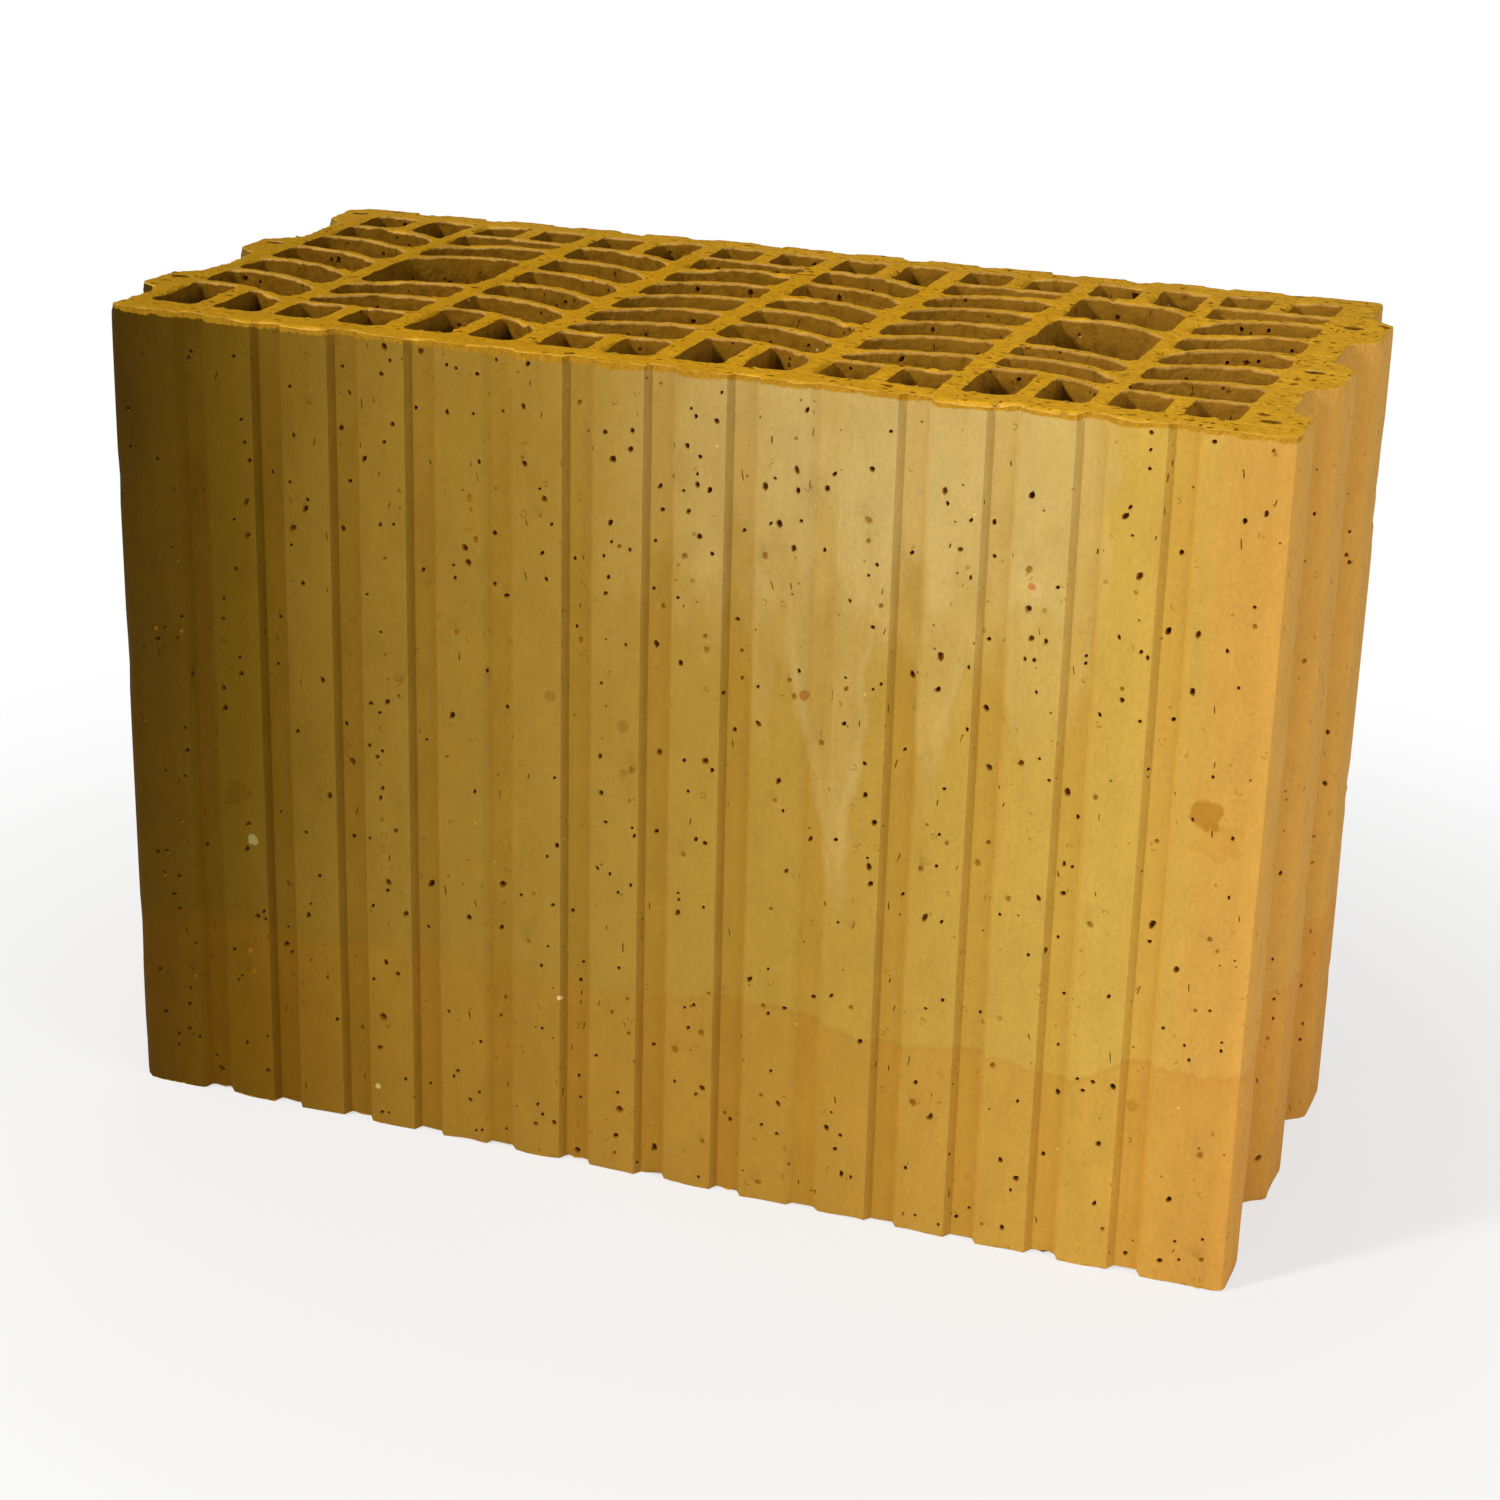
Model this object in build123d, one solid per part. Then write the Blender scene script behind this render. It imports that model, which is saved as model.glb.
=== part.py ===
"""Vertically perforated clay block with interlocking ends, extruded and fired as one piece.

Millimetres. X runs along the wall, Y through it and Z up. The origin lies on the bed face, under
the middle of the block. The front plaster face looks along -Y. Every shape is a plan outline
carried straight up, because the clay leaves its die as one long bar and is cut by wires.
"""
from build123d import *
from math import asin, degrees, sqrt
import os

# The block
laying_length = 333.0       # along the wall: three blocks to the metre
block_depth = 165.0         # through the wall
block_height = 238.0        # one course, less its bed joint
corner_radius = 2.5         # upright outer corners

# Interlocking ends: each tongue of the left end enters a recess of the next block's right end
tongue_count = 3
tongue_pitch = 56.8
tongue_height = 7.5
flank_run = 6.0             # how far each sloping flank spreads from crest to root
right_tongue_width = 21.5   # at the crest
left_tongue_width = 17.0

# Plaster key grooves on both long faces
groove_count = 13
groove_pitch = 23.25
groove_mouth = 9.2
groove_floor = 6.0
groove_depth = 2.0
corner_land = 21.3          # flat face between the left corner and the first groove

# Perforation: eight columns of slots between thick cross webs
column_count = 8
end_wall = 9.1              # clay between a recess floor and the nearest column
plaster_wall = 11.5         # clay between a plaster face and the nearest cells
middle_cross_web = 6.7
outer_cross_web = 5.7       # the first and the last cross web are thinner
perforation_shift = -1.8    # the cores sit a little nearer the left end
slot_radius = 2.4
grip_left_column = 1
grip_right_column = 6

# Arched webs across a column, each level at its crown side and falling to its foot
arch_count = 6              # in the columns whose arches fall to the right
arch_thickness = 3.8
arch_fall = 11.0            # from crown to foot, on the centre line
crown_inset = 6.0           # from the column's crown side to the top of the arch
front_crown = 28.0          # from the inside of the front wall to the first crown
rear_crown = 17.3           # from the last crown to the inside of the rear wall

# Twin cells at both ends of each column
front_cell_depth = 16.5     # where a straight web closes them
rear_cell_depth = 14.5
straight_web = 3.3
twin_web = 6.0              # between the two cells of a pair
cell_chamfer = 1.2

# Drying holes in the tongues
drying_hole_diameter = 5.6
drying_hole_setback = 8.4   # from the tongue's crest, before the shift of the cores
drying_hole_offset = 2.5    # behind the middle of the tongue's crest

root_length = laying_length - tongue_height     # between the recess floors of both ends
front_y = -block_depth / 2
right_crests = [front_y + right_tongue_width / 2 + tongue_pitch * step
                for step in range(tongue_count)]
left_crests = [middle + tongue_pitch / 2 for middle in right_crests]
cross_webs = ([outer_cross_web] + [middle_cross_web] * (column_count - 3) + [outer_cross_web])
column_width = (root_length - 2 * end_wall - sum(cross_webs)) / column_count
space_depth = block_depth - 2 * plaster_wall

arch_run = column_width - crown_inset
arch_radius = (arch_run ** 2 + arch_fall ** 2) / (2 * arch_fall)
arch_pitch = (space_depth - front_crown - rear_crown) / (arch_count - 1)
full_arches = [front_crown + arch_pitch * step for step in range(arch_count)]
staggered_arches = [crown + arch_pitch / 2 for crown in full_arches[:-1]]
grip_front_arch, grip_rear_arch = staggered_arches[1], staggered_arches[-2]


def tongues(crest_middles, width):
    """The tongues of one end, drawn as if on the right; the corners cut off what runs past."""
    root_x = root_length / 2
    crest_x = root_x + tongue_height
    buried_x = root_x - end_wall / 2
    shapes = Sketch()
    for middle in crest_middles:
        root_half = width / 2 + flank_run
        shapes += make_face(Polyline(
            (buried_x, middle - root_half),
            (root_x, middle - root_half),
            (crest_x, middle - width / 2),
            (crest_x, middle + width / 2),
            (root_x, middle + root_half),
            (buried_x, middle + root_half),
            close=True))
    return shapes & Rectangle(root_length + 2 * tongue_height, block_depth)


def key_grooves():
    """Shallow trapezoid grooves of the front plaster face, from its left corner onwards."""
    groove = make_face(Polyline(
        (-groove_mouth / 2, front_y),
        (-groove_floor / 2, front_y + groove_depth),
        (groove_floor / 2, front_y + groove_depth),
        (groove_mouth / 2, front_y),
        (groove_mouth / 2, front_y - groove_depth),
        (-groove_mouth / 2, front_y - groove_depth),
        close=True))
    first = corner_land + groove_mouth / 2 - root_length / 2
    return [Pos(first + groove_pitch * index, 0) * groove for index in range(groove_count)]


def outline():
    """The outer plan of the block."""
    left = mirror(tongues(left_crests, left_tongue_width), about=Plane.YZ)
    plan = Rectangle(root_length, block_depth) + tongues(right_crests, right_tongue_width) + left
    plan = fillet(plan.vertices(), corner_radius)
    front = key_grooves()
    return plan - front - [Rot(0, 0, 180) * groove for groove in front]


def arch(crown):
    """A thin curved web that falls to the right; its crown is measured from the cells' front."""
    past = degrees(asin(2 * crown_inset / arch_radius))
    foot = degrees(asin(arch_run / arch_radius)) + past
    centre = (crown_inset - column_width / 2, crown - space_depth / 2 - arch_radius)
    return trace(CenterArc(centre, arch_radius, 90 - foot, foot + past), arch_thickness)


def arch_at_middle(crown):
    """Where an arch's centre line crosses the middle of its column."""
    run = column_width / 2 - crown_inset
    return crown - arch_radius + sqrt(arch_radius ** 2 - run ** 2)


def bar(width, start, end):
    """A straight piece of web in the middle of a column, between two depths."""
    return Pos(0, (start + end - space_depth) / 2) * Rectangle(width, end - start)


def arched_column(crowns):
    """Webs of a column whose arches fall to the right and close its end cells."""
    webs = [arch(crown) for crown in crowns]
    webs.append(bar(twin_web, 0, arch_at_middle(crowns[0])))
    webs.append(bar(twin_web, arch_at_middle(crowns[-1]), space_depth))
    return webs


def staggered_column(crowns):
    """Webs of a column whose arches fall to the left, with straight webs at its end cells."""
    webs = [mirror(arch(crown), about=Plane.YZ) for crown in crowns]
    front_web = front_cell_depth + straight_web
    rear_web = space_depth - rear_cell_depth - straight_web
    webs.append(bar(2 * column_width, front_cell_depth, front_web))
    webs.append(bar(2 * column_width, rear_web, rear_web + straight_web))
    webs.append(bar(twin_web, 0, front_web))
    webs.append(bar(twin_web, rear_web, space_depth))
    return webs


def column_webs(index):
    """The webs that cross one column; the grip holes are left open in two of them."""
    if index == grip_left_column:
        return staggered_column(staggered_arches[:2] + staggered_arches[-2:])
    if index == grip_right_column:
        split = (full_arches[0] + grip_front_arch) / 2
        return arched_column([full_arches[0], split, grip_front_arch, grip_rear_arch,
                              full_arches[-1]])
    if index % 2:
        return staggered_column(staggered_arches)
    return arched_column(full_arches)


def eased(opening):
    """One opening with its corners eased: cut off in twin cells, rounded in slots."""
    shape = Sketch(opening.wrapped)
    if opening.bounding_box().size.X < column_width * 0.6:
        return chamfer(shape.vertices(), cell_chamfer)
    shortest_side = min(edge.length for edge in opening.edges())
    return fillet(shape.vertices(), min(slot_radius, shortest_side * 0.34))


def drying_holes():
    """Round holes in the tongues of both ends."""
    hole_x = root_length / 2 + tongue_height - drying_hole_setback
    holes = []
    for side, crests in ((1, right_crests), (-1, left_crests)):
        for middle in crests:
            at = Pos(perforation_shift + side * hole_x, middle + drying_hole_offset)
            holes.append(at * Circle(drying_hole_diameter / 2))
    return holes


def perforation():
    """Every opening in plan, column by column from the left, and the drying holes."""
    openings = drying_holes()
    left = perforation_shift + end_wall - root_length / 2
    for index in range(column_count):
        space = Rectangle(column_width, space_depth)
        at = Pos(left + column_width / 2, 0)
        openings += [at * eased(opening) for opening in (space - column_webs(index)).faces()]
        left += column_width + (cross_webs + [0])[index]
    return openings


def clay_block():
    """The fired block: its plan, carried up to the full height."""
    return extrude(outline() - perforation(), block_height)


block = clay_block()
os.makedirs("parts", exist_ok=True)
export_step(block, "parts/clay_block.step")
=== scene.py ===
"""The clay block's fired skin, torn cut faces, light and camera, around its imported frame.

The clay is shaped in millimetres in the frame's own axes, and becomes metres when its mesh is
made. The block left its die as one long bar, so its walls are smooth and streaked upright. Wires
cut the bar into blocks, so the top and the bed are torn. Sawdust in the clay burnt out and left
pits and hairline splits.
"""
import itertools
import math

import bmesh
import bpy
import numpy as np
from mathutils import Matrix, Vector
from mathutils.geometry import delaunay_2d_cdt
from mathutils.kdtree import KDTree


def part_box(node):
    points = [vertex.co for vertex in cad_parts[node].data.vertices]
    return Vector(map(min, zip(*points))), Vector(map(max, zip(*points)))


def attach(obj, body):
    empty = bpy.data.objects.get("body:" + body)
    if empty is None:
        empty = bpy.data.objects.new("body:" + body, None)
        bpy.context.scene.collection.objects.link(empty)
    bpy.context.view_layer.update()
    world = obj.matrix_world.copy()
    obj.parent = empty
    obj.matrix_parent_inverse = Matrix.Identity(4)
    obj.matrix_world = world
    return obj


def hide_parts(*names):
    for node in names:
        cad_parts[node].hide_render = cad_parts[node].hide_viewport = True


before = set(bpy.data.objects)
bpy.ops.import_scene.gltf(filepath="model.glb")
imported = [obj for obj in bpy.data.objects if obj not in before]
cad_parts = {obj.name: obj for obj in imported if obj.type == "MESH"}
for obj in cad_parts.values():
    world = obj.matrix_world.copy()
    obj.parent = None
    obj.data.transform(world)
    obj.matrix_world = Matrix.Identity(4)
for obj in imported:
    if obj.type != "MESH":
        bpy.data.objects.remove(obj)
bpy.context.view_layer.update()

MM = 0.001
LOW, HIGH = (np.array(corner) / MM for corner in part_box("clay_block"))
HEIGHT = HIGH[2] - LOW[2]
FACE = float(HIGH[1])       # from the middle of the block to its front and back faces
MEASURE_START = 162.5       # measures along the front face start this far left of the middle
SAME_PLACE = 2e-6           # metres; points closer than this are one
DICE = np.random.default_rng(238)

# The plaster key grooves
GROOVE_PITCH = 23.25
FIRST_GROOVE = 136.6        # the front's first groove lies this far left of the middle
GROOVE_REACH = 2.5          # no groove is deeper than this
WORN_GROOVES = {0: 0.3, 4: 0.35, 8: 0.5}    # share of its depth that each worn groove lost

# Spacing of the points along the upper edges, the lower edges and the drying holes
RIM, HEEL, DRYING_RIM = 1.35, 2.6, 0.9
SHARP_EDGE = 45             # degrees; a fold that turns more stays crisp

# Room left free round the pits and the loose points, in millimetres
EDGE_GAP = 0.9              # from a pit to the edges of its patch
NEIGHBOUR_GAP = 0.45        # from a pit to the next one and to the loose points round it
BEND_GAP = 1.8              # from a pit to a rounded upright corner
RIM_GAP = 0.25              # from a pit of a cut face to its lips
GRID_GAP = 1.05             # from a loose point of a cut face to its lips
PIT_FLOOR = 0.62            # size of a pit's floor, as a share of its mouth

SCATTERED_PITS = 3150       # tries on the outer walls; those that lie too close are left out
LIP_FADE, HEEL_FADE = 1.9, 2.2      # how quickly the torn lip and the torn heel die away
DIE_SKIN, CUT_FACE, CELL_WALL = range(3)

# Whole numbers that stir the place of a grid cell into a value that looks random
STIR_SEED, STIR_STEP, STIR_AXIS = 374761393, 668265263, 2246822
STIR_AGAIN, STIR_SIZE = 48271, 2147483647


# Uneven surfaces

def ripple(points, wavelength, seed):
    """Smooth uneven values from -1 to 1 over points in any number of dimensions."""
    grid = np.asarray(points, float) / wavelength
    cell = np.floor(grid).astype(np.int64)
    part = grid - cell
    ease = part * part * (3 - 2 * part)
    total = np.zeros(len(grid))
    for corner in itertools.product((0, 1), repeat=grid.shape[1]):
        key = np.full(len(grid), STIR_SEED * (seed + 1), np.int64)
        for axis, step in enumerate(corner):
            key = (key ^ ((cell[:, axis] + step) * (STIR_STEP + STIR_AXIS * axis))) % STIR_SIZE
            key = (key * STIR_AGAIN + 11) % STIR_SIZE
        share = np.prod(np.where(np.array(corner, bool), ease, 1 - ease), axis=1)
        total += share * (key % 65536 / 32767.5 - 1)
    return total


def smooth(values, start, end):
    """0 before start, 1 after end, and an eased rise between them."""
    share = np.clip((np.asarray(values, float) - start) / (end - start), 0, 1)
    return share * share * (3 - 2 * share)


# Outlines of the cut face

def cut_outlines(node):
    """The closed outlines of the top cut face in plan, each with the clay on its left."""
    mesh = bmesh.new()
    mesh.from_mesh(node.data)
    bmesh.ops.remove_doubles(mesh, verts=mesh.verts, dist=SAME_PLACE)
    onward = {}
    for face in mesh.faces:
        if face.normal.z > 0.9 and face.calc_center_median().z / MM > HIGH[2] - 0.1:
            for side in face.loops:
                if any(other.normal.z < 0.5 for other in side.edge.link_faces):
                    onward[side.vert.index] = side.link_loop_next.vert.index
    places = {v.index: (v.co.x / MM, v.co.y / MM) for v in mesh.verts}
    mesh.free()
    outlines = []
    while onward:
        at = start = min(onward)
        loop = []
        while at in onward:
            loop.append(places[at])
            at = onward.pop(at)
        outlines.append(np.array(loop))
    return sorted(outlines, key=lambda loop: -np.ptp(loop[:, 0]))


def turns(points):
    """How sharply a closed outline turns at each of its points, in degrees."""
    ahead = np.roll(points, -1, axis=0) - points
    behind = points - np.roll(points, 1, axis=0)
    cross = behind[:, 0] * ahead[:, 1] - behind[:, 1] * ahead[:, 0]
    return np.degrees(np.arctan2(cross, (behind * ahead).sum(1)))


def measured(line):
    """The distance along a line at each of its points."""
    return np.append(0, np.cumsum(np.linalg.norm(np.diff(line, axis=0), axis=1)))


def evened(rough, spacing):
    """Evenly spaced points from corner to corner of an outline, and which of them are corners."""
    corners = [i for i, turn in enumerate(turns(rough)) if abs(turn) > 40] or [0]
    start = max(corners, key=lambda i: rough[i][1] - rough[i][0])
    rough = np.roll(rough, -start, axis=0)
    corners = sorted((i - start) % len(rough) for i in corners) + [len(rough)]
    rough = np.vstack([rough, rough[:1]])
    points, marks = [], []
    for first, last in zip(corners, corners[1:]):
        run = rough[first:last + 1]
        along = measured(run)
        steps = max(1, math.ceil(along[-1] / spacing))
        at = np.linspace(0, along[-1], steps + 1)[:-1]
        points += list(zip(np.interp(at, along, run[:, 0]), np.interp(at, along, run[:, 1])))
        marks += [len(corners) > 2] + [False] * (steps - 1)
    return np.array(points), np.array(marks)


def open_sides(points):
    """The way that each point of a closed outline faces, away from the clay."""
    ahead = np.roll(points, -1, axis=0) - points
    ahead /= np.linalg.norm(ahead, axis=1, keepdims=True)
    facing = ahead + np.roll(ahead, 1, axis=0)
    facing = np.stack([facing[:, 1], -facing[:, 0]], axis=1)
    return facing / np.linalg.norm(facing, axis=1, keepdims=True)


class Outline:
    """One outline with evenly spaced points, corners kept, from its rear left corner onwards."""

    def __init__(self, rough, spacing):
        self.points, self.marks = evened(rough, spacing)
        soft = np.roll(self.points, 1, axis=0) / 2 + np.roll(self.points, -1, axis=0) / 2
        self.points[~self.marks] += (soft - self.points)[~self.marks] * 0.4
        self.facing = open_sides(self.points)
        self.along = measured(np.vstack([self.points, self.points[:1]]))
        self.length = self.along[-1]
        self.rounded = (np.abs(turns(self.points)) > 8) & ~self.marks
        self.outer, self.round_hole = self.length > 500, self.length < 25
        self.torn = 1.5 if self.outer else 0.3 if self.round_hole else 1.05
        self.burr = 0.0 if self.outer or self.round_hole else 1.0

    def thinned(self, spacing):
        """Distances along the outline of fewer points: corners, their neighbours and bends."""
        bend = np.abs(turns(self.points))
        edges = (self.rounded | self.marks) & self.outer
        beside = ~edges & (np.roll(edges, 1) ^ np.roll(edges, -1))
        kept, turned = [0], 0.0
        for i in range(1, len(self.points)):
            gap = self.along[i] - self.along[kept[-1]]
            turned += bend[i]
            if self.marks[i] or beside[i] or gap >= spacing * 0.98 or turned > 34:
                kept.append(i)
                turned = 0.0
        return self.along[kept + [len(self.points)]]

    def at(self, along):
        """Places and open sides at distances along the outline."""
        closed = np.vstack([self.points, self.points[:1]])
        sides = np.vstack([self.facing, self.facing[:1]])
        place = np.stack([np.interp(along, self.along, closed[:, i]) for i in (0, 1)], axis=1)
        side = np.stack([np.interp(along, self.along, sides[:, i]) for i in (0, 1)], axis=1)
        return place, side / np.linalg.norm(side, axis=1, keepdims=True)


# How the clay lies

def cut_level(plan):
    """How far the top wire ran below the block's full height, over the plan."""
    x, y = plan[:, 0], plan[:, 1]
    rear_right = smooth(x, 60, 150) * smooth(y, -10, 75)
    front_left = smooth(-x, 110, 165) * smooth(-y, 0, 60)
    rear_left = smooth(-x, 60, 165) * smooth(y, 20, 80)
    level = -0.75 + 0.7 * rear_right + 0.35 * front_left - 0.5 * rear_left
    level += 0.18 * ripple(plan, 38, 1) + 0.10 * ripple(plan, 11, 2)
    return np.minimum(level, -0.02)


def worn(plan):
    """The first, fifth and ninth grooves of each long face, made shallower by a worn die."""
    plan = plan.copy()
    for side in (-1, 1):
        depth = HIGH[1] - side * plan[:, 1]
        groove = np.round((FIRST_GROOVE - side * plan[:, 0]) / GROOVE_PITCH)
        share = np.select([groove == n for n in WORN_GROOVES], list(WORN_GROOVES.values()), 0.0)
        shallow = (depth < GROOVE_REACH) & (np.abs(plan[:, 0]) < 155)
        plan[shallow, 1] += side * (share * depth)[shallow]
    return plan


def settled(outline, plan, facing, height):
    """Points on a wall, with the sag, wave and torn edges that the clay took on."""
    from_top, from_face = HEIGHT - height, HIGH[1] - np.abs(plan[:, 1])
    groove = smooth(from_face, 0.3, 1.9) * (from_face < GROOVE_REACH)
    plan = worn(plan)
    place = np.column_stack([plan, height])
    sag = cut_level(plan) * smooth(from_top, 18, 0)
    towards_front = smooth(-facing[:, 1], 0.0, 0.8)
    lip = np.exp(-from_top / LIP_FADE)
    edge = 0.22 + 0.20 * ripple(plan, 3.6, 5) + 0.32 * smooth(ripple(plan, 9.0, 6), 0.2, 0.8)
    chip = smooth(ripple(plan, 10.0, 7), 0.25, 0.8)
    heel = np.exp(-height / HEEL_FADE)
    ragged = 0.3 + 0.22 * ripple(plan, 5.0, 8) + 0.5 * smooth(ripple(plan, 17.0, 9), 0.1, 0.8)
    inward = 0.12 + 0.12 * ripple(place / (1, 1, 4), 16, 3)
    inward += outline.torn * (edge * lip + 0.45 * ragged * heel)
    if outline.outer:
        upright = smooth(np.abs(plan[:, 0]), 156, 162)
        inward += 0.30 * upright * smooth(ripple(place / (1, 1, 1.5), 9, 14), 0.15, 0.75)
    rise = sag - outline.torn * lip * (0.16 + 0.16 * ripple(plan, 3.0, 10) + 0.7 * chip)
    rise += outline.burr * lip * towards_front * (0.30 + 0.25 * ripple(plan, 4.5, 13))
    rise += heel * (ragged * 0.8 + 0.4 * ripple(plan, 8.0, 11) + 0.55 * groove)
    moved = plan - facing * inward[:, None]
    moved[:, 0] += 0.16 * ripple(place / (1, 1, 1.6), 45, 12)
    if outline.round_hole:
        middle = outline.points.mean(0)
        moved[:, 1] += (middle[1] - moved[:, 1]) * 0.45 * np.exp(-from_top / 2.5)
    return np.column_stack([np.clip(moved, LOW[:2], HIGH[:2]),
                            np.clip(height + rise, LOW[2], HIGH[2])])


# Pits left by the sawdust

class Pit:
    """A hole in a flat patch: middle, half sizes, depth, tilt, and how dark its floor is painted.
    """

    def __init__(self, middle, half, depth, tilt, hollow_dark):
        self.middle, self.half, self.depth = np.array(middle), half, depth
        self.hollow_dark = hollow_dark
        lean, rise = math.cos(tilt), math.sin(tilt)
        self.turn = np.array([[lean, -rise], [rise, lean]])
        self.across = math.hypot(half[0] * lean, half[1] * rise)

    def ring(self, share, uneven):
        """Points round the pit at a share of its size."""
        angles = np.linspace(0, 2 * math.pi, len(uneven), endpoint=False)
        reach = share * uneven
        flat = np.stack([np.cos(angles) * self.half[0] * reach,
                         np.sin(angles) * self.half[1] * reach], axis=1)
        return self.middle + flat @ self.turn.T

    def covers(self, points, margin):
        """Which points lie inside the pit or within a margin of it."""
        local = (points - self.middle) @ self.turn
        return ((local / (self.half[0] + margin, self.half[1] + margin)) ** 2).sum(1) < 1


# The pits that stand out on the front face: along it, up, across, deep or not
LANDMARK_PITS = (
    (81, 35, 2.9, True), (119, 83, 2.6, True), (156, 20, 2.7, True), (56, 180, 2.7, True),
    (289, 101, 2.5, False), (173, 187, 2.4, False), (180, 130, 2.4, True), (152, 211, 2.4, True),
    (242, 109, 2.2, False))


def landmark_pit(along, up, across, deep):
    """A pit that stands out; the shallow ones show the clay's ochre."""
    depth, tilt, hollow_dark = (1.3, 0.3, 0.8) if deep else (0.6, 0.0, 0.35)
    return Pit((along, up), (across * 0.44, across * 0.47), depth, tilt, hollow_dark)


# Long splits of the front face: along it, up, half length
LANDMARK_SPLITS = ((319.5, 227, 1.6), (320.3, 209, 1.9), (317, 165, 1.3), (300.5, 215, 1.5),
                   (316.5, 88, 1.5), (233, 96, 1.4), (297, 64, 1.8))


def sawdust_pit(middle, scale=1.0):
    """A pit of the pressed faces: mostly small dark holes, some shallow, some hairline splits."""
    kind = DICE.random()
    size = scale * (0.50 + 0.46 * DICE.random() ** 2)
    if kind < 0.66:
        return Pit(middle, (size, size * DICE.uniform(0.9, 1.6)), DICE.uniform(0.9, 1.6),
                   DICE.uniform(-0.6, 0.6), DICE.uniform(0.60, 1.0))
    if kind < 0.82:
        size *= 1.35
        return Pit(middle, (size, size * DICE.uniform(0.9, 1.3)), DICE.uniform(0.3, 0.6),
                   DICE.uniform(-0.6, 0.6), DICE.uniform(0.30, 0.5))
    return Pit(middle, (DICE.uniform(0.16, 0.26), DICE.uniform(0.7, 1.9)), DICE.uniform(0.3, 0.6),
               DICE.uniform(-0.35, 0.35), DICE.uniform(0.5, 0.8))


def torn_pit(middle):
    """A gouge of the cut faces, a little drawn out the way the wire ran."""
    length = 0.60 + 1.05 * DICE.random() ** 2
    return Pit(middle, (length, length * DICE.uniform(0.4, 0.8)), DICE.uniform(0.6, 1.4),
               DICE.normal(0.0, 0.7), DICE.uniform(0.6, 1.0))


def spaced(pits, low, high, creases=np.array([])):
    """The pits that stay clear of the earlier ones, of every crease and of the patch's edges."""
    middles = np.array([pit.middle for pit in pits])
    reach = np.array([max(pit.half) for pit in pits])
    kept = []
    for i, pit in enumerate(pits):
        clear = (middles[i] - reach[i] > np.array(low) + EDGE_GAP).all()
        clear &= (middles[i] + reach[i] < np.array(high) - EDGE_GAP).all()
        clear &= (np.abs(creases - middles[i][0]) > 1.25 * pit.across + 0.2).all()
        gaps = np.hypot(*(middles[kept] - middles[i]).T) - reach[kept] - reach[i]
        if clear and (gaps > NEIGHBOUR_GAP).all():
            kept.append(i)
    return [pits[i] for i in kept]


# Patches of skin

class Skin:
    """What every patch of the block's surface adds: points, triangles, painted darkness of its
    hollows, rim and finish.
    """

    def __init__(self):
        self.places, self.triangles, self.hollow_dark, self.finish, self.rim = [], [], [], [], []
        self.count = 0

    def add(self, places, triangles, hollow_dark, rim, finish):
        """One more patch."""
        self.places.append(places)
        self.triangles.append(np.asarray(triangles) + self.count)
        self.hollow_dark.append(hollow_dark)
        self.rim.append(rim)
        self.finish.append(np.full(len(triangles), finish))
        self.count += len(places)


def triangulated(points, borders):
    """Triangles over flat points that keep the border edges."""
    made = delaunay_2d_cdt([Vector(p) for p in points], borders, [], 0, 1e-7, True)
    flat = np.array([tuple(p) for p in made[0]])
    source = np.array([ids[0] if ids else -1 for ids in made[3]])
    corners = np.array(made[2])
    a, b, c = (flat[corners[:, i]] for i in range(3))
    area = (b[:, 0] - a[:, 0]) * (c[:, 1] - a[:, 1]) - (b[:, 1] - a[:, 1]) * (c[:, 0] - a[:, 0])
    corners[area < 0] = corners[area < 0][:, ::-1]
    return flat, corners[np.abs(area) > 1e-9], source


def search_tree(points):
    """A tree that finds the flat points nearest to a place."""
    tree = KDTree(len(points))
    for i, point in enumerate(points):
        tree.insert((*point, 0), i)
    tree.balance()
    return tree


def pitted(points, pits, fixed):
    """Flat points thinned round the pits, with the pits' own points, depths and soot added."""
    keep = np.ones(len(points), bool)
    tree = search_tree(points)
    extra, depth, hollow_dark = [], [], []
    for pit in pits:
        near = [i for _, i, _ in tree.find_range((*pit.middle, 0), max(pit.half) + 1)]
        covered = np.array(near, int)
        covered = covered[pit.covers(points[covered], NEIGHBOUR_GAP)]
        if fixed[covered].any():
            continue
        keep[covered] = False
        uneven = DICE.uniform(0.80, 1.22, 7 if max(pit.half) < 0.9 else 9)
        floor = DICE.uniform(0.75, 1.1, 5)
        extra += [pit.ring(1.0, uneven), pit.ring(PIT_FLOOR, floor)]
        depth += [[0.0] * len(uneven), pit.depth * floor]
        hollow_dark += [[0.0] * len(uneven), [pit.hollow_dark] * len(floor)]
    if extra:
        points = np.vstack([points[keep]] + extra)
        depth, hollow_dark = (np.concatenate([np.zeros(keep.sum())] + x) for x in (depth, hollow_dark))
    else:
        depth = hollow_dark = np.zeros(len(points))
    return points, depth, hollow_dark, keep


def wall_borders(points, fixed, uprights):
    """The edges that a wall's triangles keep: its bed row, its top row and its creases."""
    borders = []
    for end in (0, HEIGHT):
        row = np.flatnonzero(points[:, 1] == end)
        row = row[np.argsort(points[row, 0])]
        borders += list(zip(row, row[1:]))
    for along in uprights:
        column = np.flatnonzero(fixed & (points[:, 0] == along))
        column = column[np.argsort(points[column, 1])]
        borders += list(zip(column, column[1:]))
    return [(int(a), int(b)) for a, b in borders]


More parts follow.
